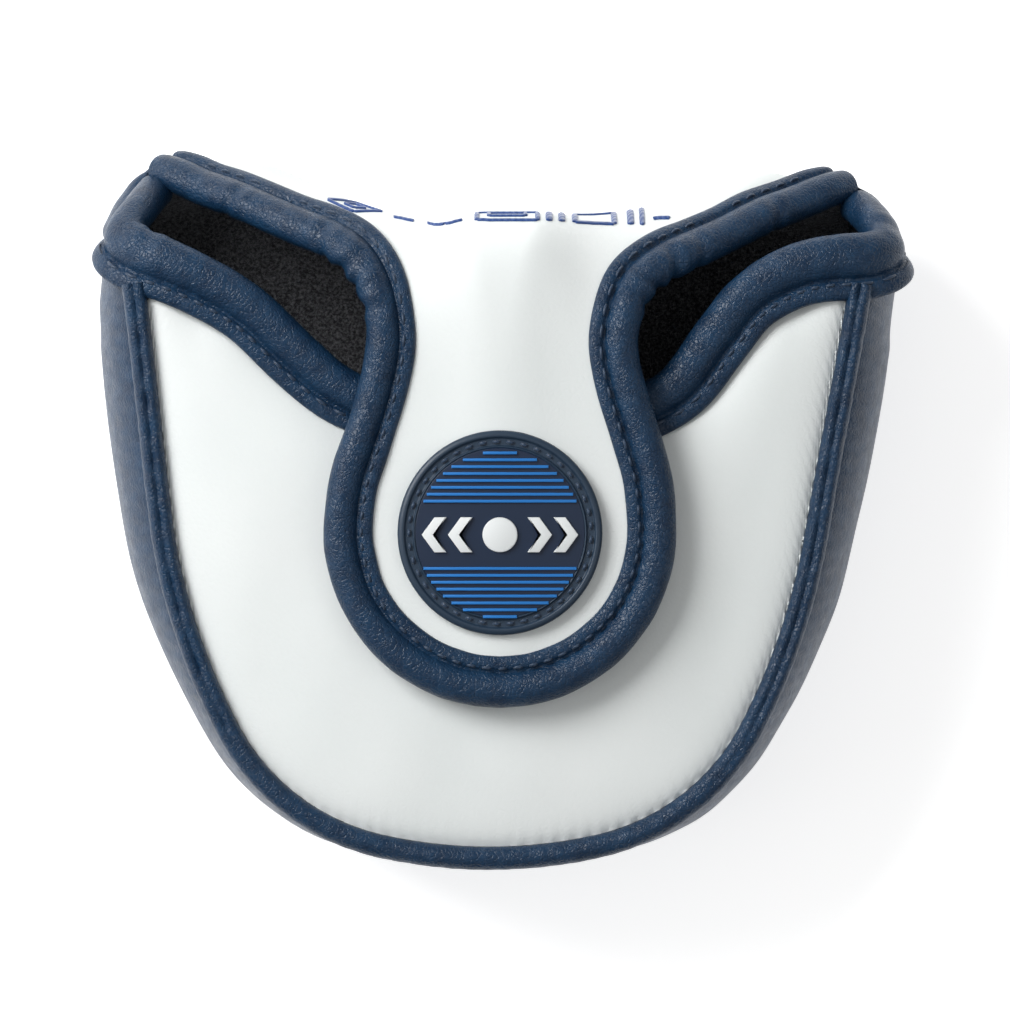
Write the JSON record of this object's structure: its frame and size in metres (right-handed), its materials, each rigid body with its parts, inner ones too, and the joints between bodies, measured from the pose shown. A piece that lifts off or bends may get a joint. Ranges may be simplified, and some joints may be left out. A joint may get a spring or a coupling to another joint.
{
  "type": "putter head cover",
  "caption": "Padded pouch that slips over a mallet putter head, with a rolled mouth edge and a fold-over flap held shut by a magnet.",
  "frame": {"origin": "middle of the outline on the outside of the back panel, which lies on the ground", "axes": "+X across the pouch, +Y towards the mouth and the fold of the neck, +Z out of the front panel"},
  "size_m": [0.1442, 0.1288, 0.0503],
  "materials": {
    "white_leather": "fine pebbled synthetic leather, satin",
    "navy_leather": "fine wrinkled synthetic leather, satin",
    "black_fleece": "short pile fleece",
    "padding_foam": "open cell sheet foam",
    "navy_thread": "twisted polyester thread",
    "blue_thread": "satin stitched embroidery thread",
    "navy_rubber": "moulded soft rubber, matte",
    "blue_rubber": "moulded soft rubber, satin",
    "white_rubber": "moulded soft rubber, satin",
    "magnet_steel": "nickel plated disc"
  },
  "bodies": {
    "pouch": {"back_panel": "white_leather", "back_foam": "padding_foam", "back_lining": "black_fleece", "gusset": "navy_leather", "gusset_lining": "black_fleece", "front_panel": "white_leather", "front_foam": "padding_foam", "front_lining": "black_fleece", "keeper_magnet": "magnet_steel", "front_piping": "navy_leather", "back_piping": "navy_leather", "mouth_collar": "navy_leather", "collar_core": "padding_foam", "collar_flange": "navy_leather", "collar_stitches": "navy_thread", "corner_gore_left": "navy_leather", "corner_gore_right": "navy_leather", "corner_binding_left": "navy_leather", "corner_binding_right": "navy_leather", "shoulder_binding_left": "navy_leather", "shoulder_binding_right": "navy_leather"},
    "neck": {"neck_panel": "white_leather", "neck_foam": "padding_foam", "neck_lining": "black_fleece", "neck_embroidery": "blue_thread", "neck_binding_left": "navy_leather", "neck_binding_right": "navy_leather"},
    "flap": {"flap_panel": "white_leather", "flap_foam": "padding_foam", "flap_lining": "black_fleece", "flap_magnet": "magnet_steel", "flap_binding": "navy_leather", "flap_core": "padding_foam", "flap_stitches": "navy_thread", "patch_base": "navy_rubber", "patch_disc": "navy_rubber", "patch_bars": "blue_rubber", "patch_motif": "white_rubber", "patch_stitches": "navy_thread"}
  },
  "joints": [
    {"name": "neck_fold", "type": "hinge", "parent": "pouch", "child": "neck", "pos_m": [0, 0.05014, 0.00236], "axis": [-1, 0, 0], "range_deg": [0, 75]},
    {"name": "flap_fold", "type": "hinge", "parent": "neck", "child": "flap", "pos_m": [0, 0.05014, 0.04524], "axis": [-1, 0, 0], "range_deg": [0, 95]}
  ]
}
